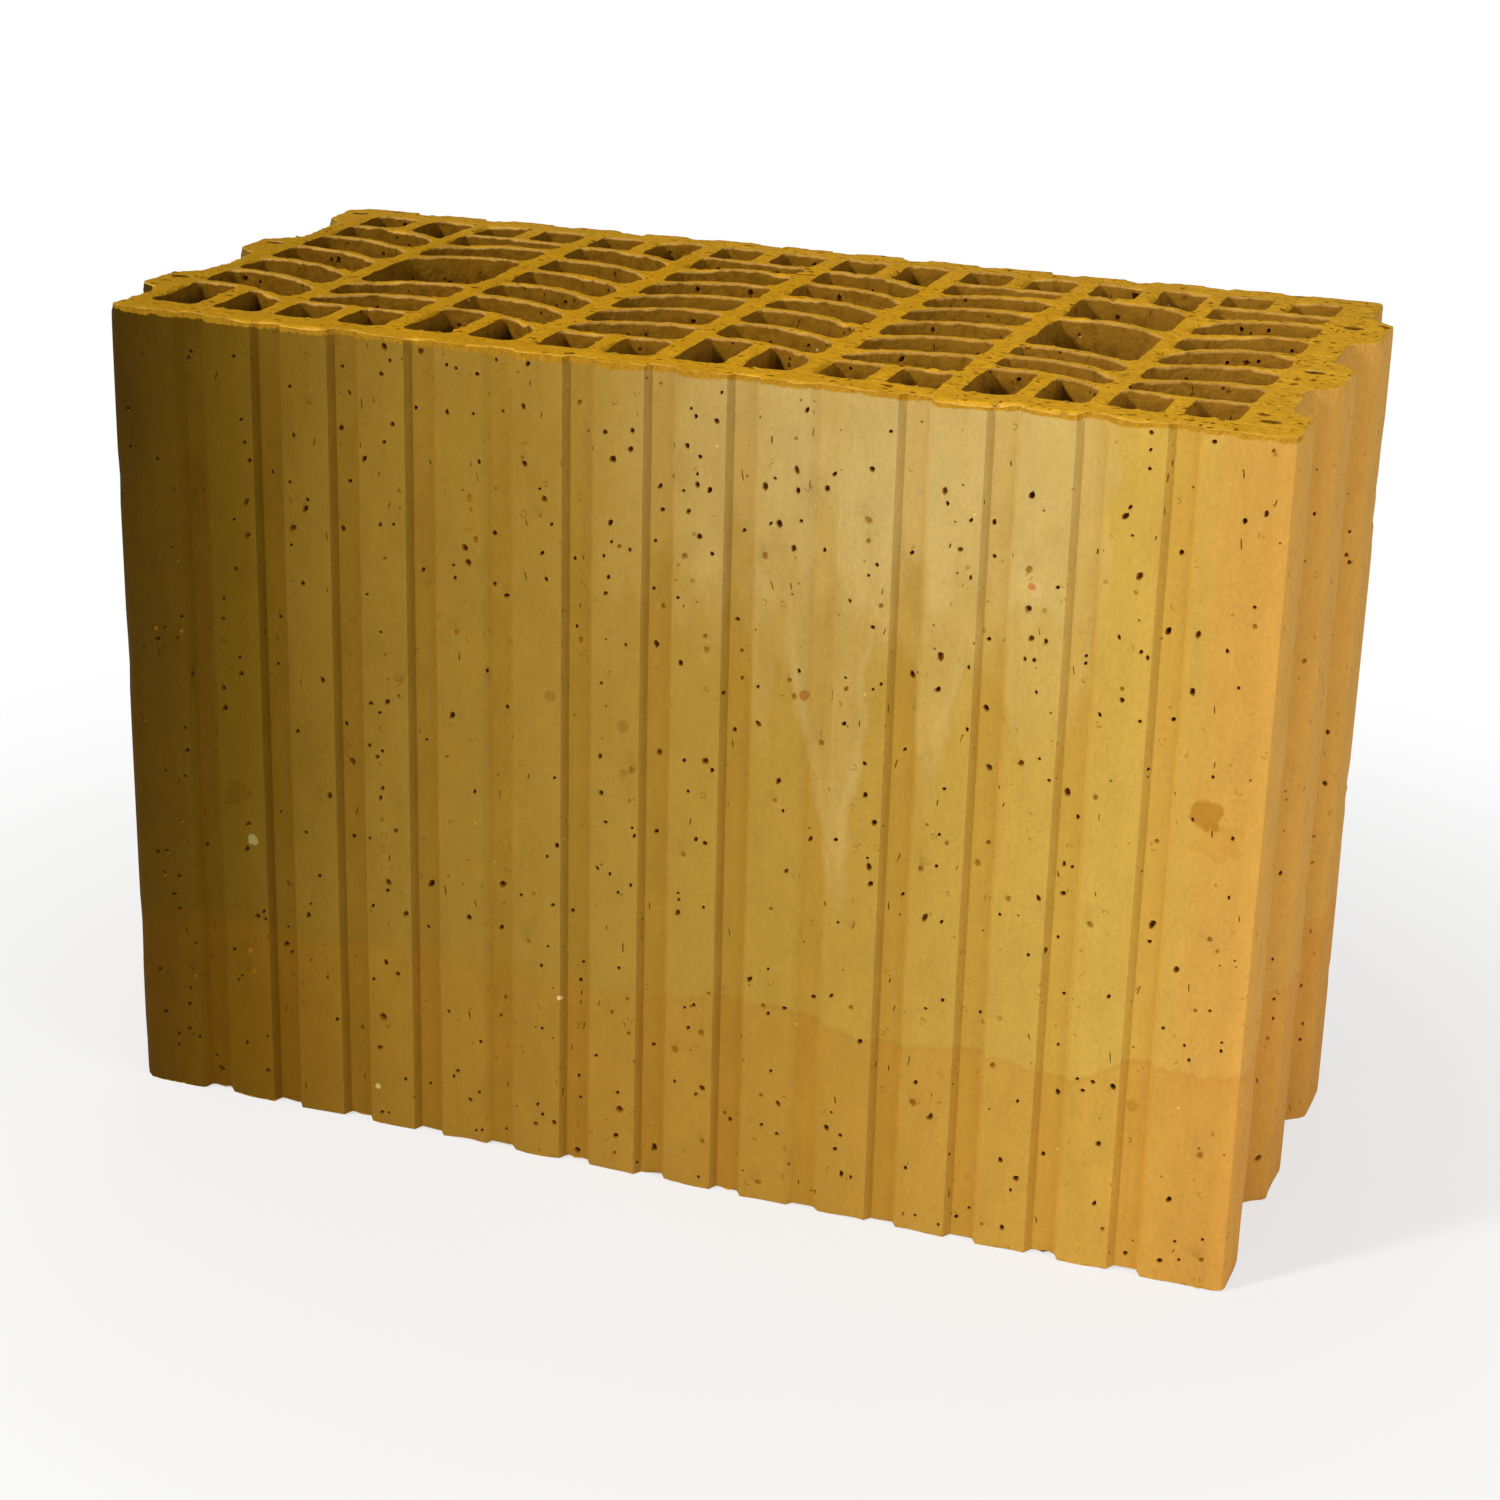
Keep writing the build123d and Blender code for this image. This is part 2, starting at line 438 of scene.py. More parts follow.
def add_wall(skin, outline, rows, pits, finish):
    """One upright wall, unrolled along its outline, triangulated and rolled back."""
    creases = outline.along[:-1][outline.marks]
    pits = spaced(pits, (0, 0), (outline.length, HEIGHT), creases)
    points, fixed = [], []
    for height, spacing in rows:
        along = outline.thinned(spacing)
        on_crease = np.isin(along, creases)
        on_crease[0] = on_crease[-1] = True
        points.append(np.column_stack([along, np.full(len(along), height)]))
        fixed.append(on_crease | (height in (0, HEIGHT)))
    points, fixed = np.vstack(points), np.concatenate(fixed)
    points, depth, hollow_dark, keep = pitted(points, pits, fixed)
    fixed = np.append(fixed[keep], np.zeros(len(points) - keep.sum(), bool))
    borders = wall_borders(points, fixed, sorted({0.0, outline.length, *creases}))
    flat, corners, source = triangulated(points, borders)
    plan, facing = outline.at(flat[:, 0])
    places = settled(outline, plan, facing, flat[:, 1])
    places[:, :2] -= facing * depth[source][:, None]
    rim = smooth(flat[:, 1], HEIGHT - (3.2 if outline.outer else 1.5), HEIGHT)
    hollow_dark = hollow_dark[source]
    # Painted shade: the walls of the drying holes dark from just below the top down
    if outline.round_hole:
        hollow_dark = np.maximum(hollow_dark, 0.85 * smooth(HEIGHT - flat[:, 1], 0.1, 1.6))
    # Partly painted highlight: the pale upper edge of the cells is strongest where the wall faces
    # the front; the rest is the pale torn burr
    if not outline.outer:
        rim *= outline.burr * (0.3 + 0.7 * smooth(-facing[:, 1], -0.1, 0.7))
    skin.add(places, corners, hollow_dark, rim, finish)


def inside(points, outline):
    """Which points lie inside a closed outline."""
    hits = np.zeros(len(points), bool)
    for (ax, ay), (bx, by) in zip(outline, np.roll(outline, -1, axis=0)):
        if ay != by:
            between = (ay > points[:, 1]) != (by > points[:, 1])
            hits ^= between & (points[:, 0] < (bx - ax) * (points[:, 1] - ay) / (by - ay) + ax)
    return hits


def over_clay(points, loops):
    """Which points in plan lie inside the first closed loop and outside all the others."""
    solid = inside(points, loops[0])
    for loop in loops[1:]:
        near = np.flatnonzero(((points > loop.min(0)) & (points < loop.max(0))).all(1))
        solid[near[inside(points[near], loop)]] = False
    return solid


def torn_level(flat, depth, height):
    """Heights of a cut face, torn to a little below the full height or just above the bed."""
    if height:
        torn = 0.14 * ripple(flat, 2.4, 21) + 0.16 * ripple(flat / (2.2, 1), 4.5, 22)
        return height + (np.minimum(cut_level(flat) + torn, -0.01) - depth)
    torn = 0.25 + 0.2 * ripple(flat, 3.0, 23) + 0.25 * ripple(flat / (2.2, 1), 7.0, 24)
    return np.maximum(torn, 0) + depth


def add_cut_face(skin, outlines, rim_spacing, spacing, height, pits):
    """The top or the bed: clay between all the outlines, torn by the wire."""
    loops, sides, places, borders, count = [], [], [], [], 0
    for outline in outlines:
        plan, facing = outline.at(outline.thinned(rim_spacing)[:-1])
        loops.append(plan)
        sides.append(facing)
        places.append(settled(outline, plan, facing, np.full(len(plan), float(height))))
        ring = list(range(count, count + len(plan)))
        borders += list(zip(ring, ring[1:] + ring[:1]))
        count += len(plan)
    rims, sides, rim_places = np.vstack(loops), np.vstack(sides), np.vstack(places)
    tree = search_tree(rims)
    columns = np.arange(LOW[0], HIGH[0], spacing)
    lines = np.arange(LOW[1], HIGH[1], spacing * 0.87)
    grid = np.array([(x + spacing / 2 * (i % 2), y) for i, y in enumerate(lines) for x in columns])
    grid += DICE.uniform(-0.18, 0.18, grid.shape) * spacing
    grid = grid[over_clay(grid, loops)]
    grid = grid[[tree.find((*point, 0))[2] > GRID_GAP for point in grid]]
    pits = [pit for pit in pits if tree.find((*pit.middle, 0))[2] > max(pit.half) + RIM_GAP]
    points = np.vstack([rims, grid])
    fixed = np.arange(len(points)) < len(rims)
    points, depth, hollow_dark, _ = pitted(points, pits, fixed)
    flat, corners, source = triangulated(points, borders)
    corners = corners[over_clay(flat[corners].mean(1), loops)]
    if not height:
        corners = corners[:, ::-1]
    places = np.column_stack([flat, torn_level(flat, depth[source], height)])
    on_rim = source < len(rims)
    places[on_rim] = rim_places[source[on_rim]]
    nearest = [tree.find((*point, 0)) for point in flat]
    away = np.array([found[2] for found in nearest])
    side = sides[[found[1] for found in nearest]]
    # Partly painted highlight: the pale edge of a cut face is strongest where it faces the front;
    # the rest is the pale torn burr
    rim = (1 - smooth(away, 0.3, 1.4)) * (0.2 + 0.8 * smooth(-side[:, 1], 0.0, 0.7))
    skin.add(places, corners, hollow_dark[source], rim, CUT_FACE)


# The block

def below_top(*rows):
    """Rows of points by how far they lie below the top, each with the spacing in it."""
    return [(HEIGHT - fall, spacing) for fall, spacing in rows]


OUTER_ROWS = [(0, HEEL), (0.8, HEEL), (2.4, 3.5), (5.5, 6.0)]
OUTER_ROWS += [(height, 7.0) for height in np.arange(12, HEIGHT - 8, 8.0)]
OUTER_ROWS += below_top((5, 4.5), (2.4, 2.7), (1.1, RIM), (0.45, RIM), (0, RIM))
CELL_ROWS = [(0, HEEL), (1.2, 4), (8, 10), (95, 14), (185, 12), (211, 8)]
CELL_ROWS += below_top((17, 6), (8, 4), (3.2, 2.7), (1.2, RIM), (0.45, RIM), (0, RIM))


def outer_pits(outer):
    """Pits of the outer walls: those that stand out, the long splits, then the scattered ones."""
    on_front = (outer.points[:, 1] < LOW[1] + 3) & (np.abs(outer.points[:, 0]) < 162)
    front_x, front_along = outer.points[on_front, 0], outer.along[:-1][on_front]

    def unrolled(along):
        """Where a measure along the front face lies on the unrolled wall."""
        return np.interp(along - MEASURE_START, front_x, front_along)

    pits = [landmark_pit(unrolled(along), up, across, deep)
            for along, up, across, deep in LANDMARK_PITS]
    pits += [Pit((unrolled(along), up), (0.2, half), 0.5, 0.1, 0.8)
             for along, up, half in LANDMARK_SPLITS]
    pits += [sawdust_pit(middle)
             for middle in DICE.uniform((0, 0), (outer.length, HEIGHT), (SCATTERED_PITS, 2))]
    bends = outer.along[:-1][outer.rounded]
    return [pit for pit in pits
            if (np.abs(bends - pit.middle[0]) > pit.across + BEND_GAP).all()]


def cell_pits(cell):
    """Pits of a cell's walls, all near the top, where light reaches."""
    return [sawdust_pit((DICE.uniform(0, cell.length), HEIGHT - 2 - 26 * DICE.random() ** 1.4),
                        1.25)
            for _ in range(1 + int(cell.length / 4.5))]


def gouges(outlines, tries):
    """Gouges of a cut face, closer together towards its right end."""
    spots = DICE.random((tries, 2)) ** (0.65, 1) * (HIGH - LOW)[:2] + LOW[:2]
    spots = spots[over_clay(spots, [outline.points for outline in outlines])]
    return spaced([torn_pit(spot) for spot in spots], LOW[:2], HIGH[:2])


def shaped_block():
    """Every patch of the block: its outer walls, its cells, the top and the bed."""
    skin = Skin()
    outlines = [Outline(rough, RIM if np.ptp(rough[:, 0]) > 7 else DRYING_RIM)
                for rough in cut_outlines(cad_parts["clay_block"])]
    outer, cells = outlines[0], outlines[1:]
    add_wall(skin, outer, OUTER_ROWS, outer_pits(outer), DIE_SKIN)
    for cell in cells:
        add_wall(skin, cell, CELL_ROWS, cell_pits(cell), CELL_WALL)
    add_cut_face(skin, outlines, rim_spacing=RIM, spacing=1.65, height=HEIGHT,
                 pits=gouges(outlines, tries=4600))
    add_cut_face(skin, outlines, rim_spacing=HEEL, spacing=3.0, height=0,
                 pits=gouges(outlines, tries=700))
    return skin


def made_block(skin):
    """The whole surface as one closed mesh in metres."""
    places = np.vstack(skin.places) * MM
    triangles = np.vstack(skin.triangles)
    mesh = bpy.data.meshes.new("fired_clay_block")
    mesh.from_pydata(places.tolist(), [], triangles.tolist())
    for name, values in (("hollow_dark", skin.hollow_dark), ("rim", skin.rim)):
        mesh.attributes.new(name, "FLOAT", "POINT").data.foreach_set(
            "value", np.concatenate(values).astype(np.float32))
    mesh.polygons.foreach_set("material_index", np.concatenate(skin.finish).astype(np.int32))
    weld = bmesh.new()
    weld.from_mesh(mesh)
    bmesh.ops.remove_doubles(weld, verts=weld.verts, dist=SAME_PLACE)
    weld.to_mesh(mesh)
    weld.free()
    mesh.shade_smooth()
    mesh.set_sharp_from_angle(angle=math.radians(SHARP_EDGE))
    block = bpy.data.objects.new("fired_clay_block", mesh)
    bpy.context.scene.collection.objects.link(block)
    return block


block = made_block(shaped_block())
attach(block, "root")
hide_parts("clay_block")


# Finishes

def tone(red, green, blue):
    """A colour from its screen values, 0 to 255."""
    return tuple(((value / 255 + 0.055) / 1.055) ** 2.4 if value > 10 else value / 3295
                 for value in (red, green, blue))


CLAY_SHINE = 0.05
MIX_SHARE, MIX_UNDER, MIX_OVER, MIX_COLOUR = 0, 6, 7, 2     # sockets of a Mix node for colours


class Wire:
    """A node socket in plain arithmetic: each operation adds its Math node."""

    def __init__(self, finish, socket):
        self.finish, self.socket = finish, socket

    def other(self, output):
        """Another output of the same node."""
        return Wire(self.finish, self.socket.node.outputs[output])

    def math(self, operation, first, second=None):
        """A Math node on one or two values."""
        sockets = {0: first} if second is None else {0: first, 1: second}
        return self.finish.node("ShaderNodeMath", {"operation": operation}, sockets)

    def __add__(self, value):
        return self.math("ADD", self, value)

    def __radd__(self, value):
        return self.math("ADD", value, self)

    def __sub__(self, value):
        return self.math("SUBTRACT", self, value)

    def __rsub__(self, value):
        return self.math("SUBTRACT", value, self)

    def __mul__(self, value):
        return self.math("MULTIPLY", self, value)

    def __rmul__(self, value):
        return self.math("MULTIPLY", value, self)

    def __truediv__(self, value):
        return self.math("DIVIDE", self, value)

    def __rtruediv__(self, value):
        return self.math("DIVIDE", value, self)

    def __pow__(self, value):
        return self.math("POWER", self, value)

    def __rpow__(self, value):
        return self.math("POWER", value, self)

    def __abs__(self):
        return self.math("ABSOLUTE", self)

    def or_more(self, value):
        """The larger of two values."""
        return self.math("MAXIMUM", self, value)

    def or_less(self, value):
        """The smaller of two values."""
        return self.math("MINIMUM", self, value)


class Finish:
    """One surface finish: a material, and short ways to add its nodes."""

    def __init__(self, name, roughness):
        self.material = bpy.data.materials.new(name)
        self.material.use_nodes = True
        self.tree = self.material.node_tree
        self.shader = self.tree.nodes["Principled BSDF"].inputs
        self.shader["Roughness"].default_value = roughness
        self.shader["Specular IOR Level"].default_value = CLAY_SHINE
        place = self.node("ShaderNodeTexCoord", {}, {}, "Object")
        self.place = self.node("ShaderNodeVectorMath", {"operation": "SCALE"},
                               {0: place, "Scale": 1 / MM})
        self.x = self.node("ShaderNodeSeparateXYZ", {}, {0: self.place})
        self.y, self.z = self.x.other("Y"), self.x.other("Z")

    def node(self, kind, settings, sockets, output=0):
        """A node with its settings made first, then its sockets; gives one output."""
        made = self.tree.nodes.new(kind)
        for name, value in settings.items():
            setattr(made, name, value)
        for name, value in sockets.items():
            self.feed(made.inputs[name], value)
        return Wire(self, made.outputs[output])

    def feed(self, socket, value):
        """A wire linked to a socket, or a constant set on it."""
        if isinstance(value, Wire):
            self.tree.links.new(value.socket, socket)
        elif socket.type == "RGBA":
            socket.default_value = (*value, 1)
        else:
            socket.default_value = value

    def gradient(self, along, stops):
        """A colour that goes through (position, colour) stops along a value in millimetres."""
        start, end = stops[0][0], stops[-1][0]
        ramp = self.node("ShaderNodeValToRGB", {}, {"Fac": (along - start) / (end - start)})
        band = ramp.socket.node.color_ramp
        while len(band.elements) < len(stops):
            band.elements.new(0.5)
        for element, (position, colour) in zip(band.elements, stops):
            element.position = (position - start) / (end - start)
            element.color = (*colour, 1)
        return ramp

    def grain(self, size, stretch=(1, 1, 1), detail=2.0, rough=0.5, shift=0.0):
        """Cloudy noise round zero, its size in millimetres and its stretch along each axis."""
        spot = self.node("ShaderNodeVectorMath", {"operation": "MULTIPLY_ADD"},
                         {0: self.place, 1: tuple(1 / (size * s) for s in stretch),
                          2: (shift, shift, shift)})
        return self.node("ShaderNodeTexNoise", {"noise_dimensions": "3D"},
                         {"Vector": spot, "Scale": 1.0, "Detail": detail,
                          "Roughness": rough}) - 0.5

    def grit(self, size):
        """Distance in millimetres from the nearest scattered grain, and that grain's chance."""
        spot = self.node("ShaderNodeVectorMath", {"operation": "SCALE"},
                         {0: self.place, "Scale": 1 / size})
        away = self.node("ShaderNodeTexVoronoi", {"voronoi_dimensions": "3D", "feature": "F1"},
                         {"Vector": spot, "Scale": 1.0})
        return away * size, self.node("ShaderNodeSeparateColor", {}, {0: away.other("Color")})

    def ease(self, value, start, end, low=0.0, high=1.0):
        """A smooth change from low to high while a value goes from start to end."""
        return self.node("ShaderNodeMapRange", {"interpolation_type": "SMOOTHSTEP"},
                         {"Value": value, "From Min": start, "From Max": end,
                          "To Min": low, "To Max": high})

    def blend(self, share, under, over, way="MIX"):
        """One colour laid over another."""
        return self.node("ShaderNodeMix", {"data_type": "RGBA", "blend_type": way},
                         {MIX_SHARE: share, MIX_UNDER: under, MIX_OVER: over}, MIX_COLOUR)

    def along(self):
        """How far along the front face, from where its measures start."""
        return self.x + MEASURE_START

    def shaded(self, colour, strength):
        """A colour made lighter or darker."""
        return self.node("ShaderNodeVectorMath", {"operation": "SCALE"},
                         {0: colour, "Scale": strength})

    def mark(self, name):
        """A value painted on the clay's own points."""
        return self.node("ShaderNodeAttribute", {"attribute_name": name}, {}, "Fac")

    def done(self, colour, height):
        """The finish with its colour and its fine relief in millimetres."""
        self.feed(self.shader["Base Color"], colour)
        bump = self.node("ShaderNodeBump", {}, {"Strength": 1.0, "Distance": MM, "Height": height})
        self.feed(self.shader["Normal"], bump)
        return self.material


def darkened_hollows(clay, body):
    """Pits and drying holes painted darker, from ochre brown to dark brown, most in the deep pits;
    in the drying holes it is painted shade.
    """
    hollow_dark = clay.mark("hollow_dark")
    body = clay.blend(clay.ease(hollow_dark, 0.0, 0.45) * 0.85, body, tone(146, 94, 17))
    return clay.blend(clay.ease(hollow_dark, 0.4, 0.95), body, tone(94, 54, 8))


class PressedClay(Finish):
    """The die skin's finish, with the measures and uneven values that its marks share."""

    def __init__(self):
        super().__init__("die_skin", 0.62)
        self.at, self.up = self.along(), self.z
        self.front = self.ease(self.y, -76, -80)
        # A measure along the front for the body tone and the painted shade of the dark left end,
        # shifted on the back so that the back is less dark
        self.tone_and_shade_along = self.at + self.ease(self.y, -80, 60, 0, 95)
        self.cloud = self.grain(26, (1, 1, 1.8))
        self.drift = self.grain(9, (1, 1, 2.2), 2.0, shift=7.0)
        self.ragged = self.grain(4, detail=1.0, shift=5.0)
        self.grime = self.grain(1.1, (1, 1, 1.6), 1.5, 0.6, shift=2.0)


# Pale runs on the front face: along it, tip, top, half width, lean, strength
RUN_MARKS = ((219, 78, 205, 17, -0.055, 1.0), (242, 112, 178, 9, 0.03, 1.0),
             (272, 126, 168, 12, 0.0, 1.0), (198, 118, 190, 6, -0.06, 0.5))

# Stains and grains of the front face: along it, up, reach, raggedness, colour, way, strength
STAINS = (
    (317.5, 136.5, 5.0, 0.35, (0.78, 0.67, 0.42), "MULTIPLY", 1.0),
    (320.5, 129.5, 6.0, 0.45, (0.84, 0.74, 0.52), "MULTIPLY", 0.35),
    (303.5, 50.0, 1.9, 0.2, (0.84, 0.78, 0.66), "MULTIPLY", 1.0),
    (134, 142, 2.0, 0.1, (0.82, 0.76, 0.64), "MULTIPLY", 1.0),
    (155.6, 136.4, 2.1, 0.1, (0.82, 0.76, 0.64), "MULTIPLY", 1.0),
    (156, 123, 1.4, 0.1, (0.82, 0.76, 0.64), "MULTIPLY", 1.0),
    (35.0, 98.0, 4.5, 0.4, (0.88, 0.82, 0.66), "MULTIPLY", 1.0),
    (268.4, 190.4, 2.1, 0.5, tone(214, 176, 112), "MIX", 1.0),
    (267.6, 191.0, 1.0, 0.5, tone(194, 134, 62), "MIX", 1.0),
    (39.6, 84.6, 1.7, 0.5, tone(150, 140, 84), "MIX", 0.7),
    (137.2, 51.6, 0.9, 0.3, tone(224, 196, 138), "MIX", 1.0),
    (79.0, 12.2, 0.8, 0.3, tone(195, 172, 98), "MIX", 1.0),
    (207.6, 153.0, 1.3, 0.4, tone(160, 98, 34), "MIX", 0.8))


def fired_clay(clay):
    """Olive brown at the left end to straw at the right: the hue is the clay's own, and much of
    the darkening towards the left end is painted shade. The dark left end eases off to the back.
    """
    return clay.gradient(clay.tone_and_shade_along + clay.cloud * 20, (
        (-8, tone(70, 47, 2)), (37, tone(103, 76, 9)), (84, tone(140, 108, 35)),
        (160, tone(167, 131, 51)), (223, tone(183, 145, 59)), (296, tone(208, 169, 75)),
        (333, tone(213, 161, 75))))


def run_mark(clay, at, tip, top, half, lean):
    """A pale run that narrows downwards to its tip, brightest along its two edges."""
    width = ((clay.up - tip) * (half / (top - tip))).or_less(half)
    inward = width - abs(clay.at - at - (clay.up - tip) * lean + clay.drift * 9)
    edge = clay.ease(abs(inward - 1.5), 2.2, 0.2)
    return (clay.ease(inward, -1.5, 4.0) * 0.45 + edge * 0.4) * clay.ease(clay.up, tip, tip + 50)


def washed(clay, body):
    """The pale wash over the upper middle, its runs, and the orange land beside the corner."""
    wash = clay.ease(clay.at, 130, 215) * clay.ease(clay.at + clay.drift * 16, 291, 280)
    wash *= clay.ease(clay.up + clay.drift * 70, 150, 205)
    for *shape, strength in RUN_MARKS:
        wash = wash.or_more(run_mark(clay, *shape) * strength)
    share = wash * clay.front * (0.34 + clay.cloud * 0.35)
    body = clay.blend(share, body, tone(222, 201, 142))
    orange = clay.ease(clay.at + clay.drift * 5, 311, 317) * clay.ease(clay.up, 40, 75)
    return clay.blend(orange * 0.3, body, tone(214, 156, 68))


def damp_foot(clay, body):
    """A damp foot below a wavy tide line, which is soft at the left and sharp at the right."""
    wave = clay.grain(34, detail=0.0, shift=3.0) * 12 + clay.ragged * 3
    tide = 58 - clay.up + wave + clay.ease(clay.at, 284, 302) * 8
    damp = clay.ease(tide / clay.ease(clay.at, 120, 185, 8.0, 1.0), -0.5, 0.5)
    stain = clay.gradient(clay.at, ((0, (1.22, 1.08, 0.95)), (60, (1.16, 1.05, 0.92)),
                                    (130, (1.04, 0.96, 0.86)), (200, (0.985, 0.90, 0.82))))
    body = clay.blend(damp, body, stain, "MULTIPLY")
    line = clay.ease(abs(tide - 0.5), 1.8, 0.1) * clay.ease(clay.at, 150, 210, 0.08, 0.26)
    return clay.blend(line * clay.front, body, (0.88, 0.80, 0.68), "MULTIPLY")


def groove_tone_and_shade(clay, body):
    """The grooves, a little darker than the lands, partly their own browner clay and partly
    painted shade in the hollows, and darker still below the pale wash.
    """
    # Partly painted shade: the groove floors darker, with the clay's own browner tone
    groove = clay.ease(FACE - abs(clay.y), 0.4, 1.3) * clay.ease(abs(clay.x), 161, 159)
    body = clay.blend(groove, body, (1.0, 0.96, 0.86), "MULTIPLY")
    damp = groove * clay.ease(clay.up + clay.drift * 60, 222, 175) * clay.ease(clay.at, 300, 190)
    return clay.blend(damp, body, (0.95, 0.93, 0.84), "MULTIPLY")


def mottled_and_shaded(clay, body):
    """Streaks from the die, mottles and grime, with painted shade and light: a little darker
    towards the top, darker in the upper left corner, and lighter on the right end.
    """
    streak = clay.grain(1.5, (1, 1, 70), 1.0, 0.6)
    mottle = clay.grain(5, (1, 1, 2.5), 3.0, 0.65)
    # Painted shade: the face a little darker towards the top, and darker in its upper left corner
    light = clay.ease(clay.up, 50, 215, 1.02, 0.97)
    light -= clay.ease(clay.tone_and_shade_along, 60, 0) * clay.ease(clay.up, 60, 220, 0.08, 0.28)
    # Painted light: the right end made lighter
    light *= clay.ease(clay.x, 163, 170, 1.0, 1.13)
    light += streak * 0.06 + mottle * 0.22 + clay.drift * 0.14 + clay.grime * 0.24
    return clay.shaded(body, light)


def stained(clay, body):
    """Single stains and grains at their measured places on the front face."""
    for at, up, reach, raggedness, colour, way, strength in STAINS:
        away = ((clay.at - at) ** 2 + (clay.up - up) ** 2) ** 0.5
        share = clay.ease(away + clay.ragged * reach * raggedness * 4, reach, reach * 0.75)
        body = clay.blend(share * clay.front * strength, body, colour, way)
    return body


def flecked(clay, body):
    """Scattered broken rings of shallow pits, pinholes and pale glints."""
    away, chance = clay.grit(5.4)
    broken = clay.ease(clay.grain(1.3, detail=0.0), 0.02, 0.09)
    arc = clay.ease(abs(away - 0.85), 0.26, 0.08) * broken * clay.ease(chance, 0.46, 0.45)
    body = clay.blend(arc * 0.75, body, (0.62, 0.50, 0.33), "MULTIPLY")
    pinhole = clay.ease(away, 0.46, 0.26) * clay.ease(chance, 0.54, 0.55)
    body = clay.blend(pinhole * 0.8, body, tone(84, 52, 10))
    glint = clay.ease(away, 0.5, 0.3) * clay.ease(abs(chance - 0.5), 0.02, 0.015)
    return clay.blend(glint, body, (1.35, 1.45, 1.9), "MULTIPLY")


def torn_rim(clay, body):
    """Ochre clay laid bare along the ragged upper edge of the long faces."""
    flake = clay.ragged + clay.grime * 0.5
    torn = clay.ease(clay.mark("rim") + flake, 0.42, 0.64) * clay.ease(abs(clay.y), 76, 80)
    ochre = clay.gradient(clay.at, ((0, tone(146, 106, 17)), (333, tone(196, 143, 36))))
    return clay.blend(torn, body, clay.shaded(ochre, 1 + clay.grime * 0.8))


def die_skin():
    """Pressed clay, smooth from the die, with its stains, run marks and torn upper edge."""
    clay = PressedClay()
    body = fired_clay(clay)
    for layer in (washed, damp_foot, groove_tone_and_shade, mottled_and_shaded, stained, flecked, torn_rim, darkened_hollows):
        body = layer(clay, body)
    return clay.done(body, clay.grime * (0.17 + clay.mark("rim") * 0.8))


def cut_face():
    """Torn, unpressed clay: saturated ochre, dark cracks, and pale along its edges: thin burrs,
    and partly painted highlight where the edges face the front.
    """
    clay = Finish("cut_face", 0.9)
    along = clay.along()
    body = clay.gradient(along, ((0, tone(184, 136, 23)), (120, tone(206, 150, 22)),
                                 (220, tone(218, 160, 29)), (333, tone(222, 167, 40))))
    back = clay.ease(clay.y, 40, 78)
    body = clay.blend(back * 0.5, body, tone(208, 157, 46))
    clod = clay.grain(1.9, (1.3, 1, 1), 3.0, 0.6)
    patchy = clay.grain(9, detail=1.0)
    rough = clay.ease(along + patchy * 120, 60, 300, 0.35, 0.75)
    body = clay.shaded(body, 1 + clod * rough + patchy * 0.30)
    crack = clay.ease(clay.grain(2.1, (1.8, 1, 1), 1.0, shift=4.0), 0.145, 0.18)
    crack *= clay.ease(patchy + clay.ease(along, 120, 330) * 0.2, -0.08, 0.08)
    body = clay.blend(crack * 0.9, body, (0.24, 0.15, 0.05), "MULTIPLY")
    rim = clay.mark("rim")
    # Partly painted highlight: pale along the edges, most where they face the front
    pale = clay.ease(rim + clod * 1.1, 0.35, 0.90)
    body = darkened_hollows(clay, clay.blend(pale * 0.55, body, tone(230, 180, 92)))
    return clay.done(body, clod * (0.8 - rim * 0.4))


def cell_wall():
    """Inside the cells: dull brown, darker lower down, which is painted shade, streaked upright,
    with white grains and a pale upper edge that is partly painted highlight.
    """
    clay = Finish("cell_wall", 0.9)
    along = clay.along()
    deep = clay.gradient(along, ((0, tone(84, 54, 6)), (160, tone(100, 66, 10)),
                                 (333, tone(118, 80, 17))))
    upper = clay.gradient(along, ((0, tone(118, 80, 15)), (160, tone(141, 98, 23)),
                                  (333, tone(168, 119, 36))))
    streak = clay.grain(1.8, (1, 1, 22), 2.0, 0.6)
    mottle = clay.grain(3.6, detail=2.5, rough=0.65)
    # Painted shade: the cell walls darker below the upper edge
    body = clay.blend(clay.ease(clay.z + mottle * 18, 220, 237), deep, upper)
    body = clay.blend(clay.ease(mottle, 0.0, 0.12) * 0.3, body, tone(104, 80, 20))
    body = clay.shaded(body, 1 + streak * 0.35 + mottle * 0.9)
    away, chance = clay.grit(4.6)
    hole = clay.ease(away, 0.7, 0.4) * clay.ease(chance, 0.54, 0.55)
    body = clay.blend(hole * 0.85, body, tone(40, 23, 3))
    speck = clay.ease(away, 0.55, 0.35) * clay.ease(chance, 0.12, 0.11)
    body = clay.blend(speck, body, tone(200, 176, 124))
    # Partly painted highlight: pale along the upper edge, most where it faces the front
    pale = clay.ease(clay.mark("rim") + mottle * 1.1, 0.45, 0.95)
    body = darkened_hollows(clay, clay.blend(pale * 0.7, body, tone(230, 178, 90)))
    return clay.done(body, mottle * 0.9)


for material in (die_skin(), cut_face(), cell_wall()):
    block.data.materials.append(material)


# Studio

def lamp(name, place, size, power, colour):
    """A round soft light aimed at the middle of the block."""
    light = bpy.data.lights.new(name, "AREA")
    light.shape, light.size, light.energy, light.color = "DISK", size, power, colour
    holder = bpy.data.objects.new(name, light)
    holder.location = place
    sight = Vector((0, 0, 0.12)) - holder.location
    holder.rotation_euler = sight.to_track_quat("-Z", "Y").to_euler()
    holder.visible_glossy = False
    bpy.context.scene.collection.objects.link(holder)


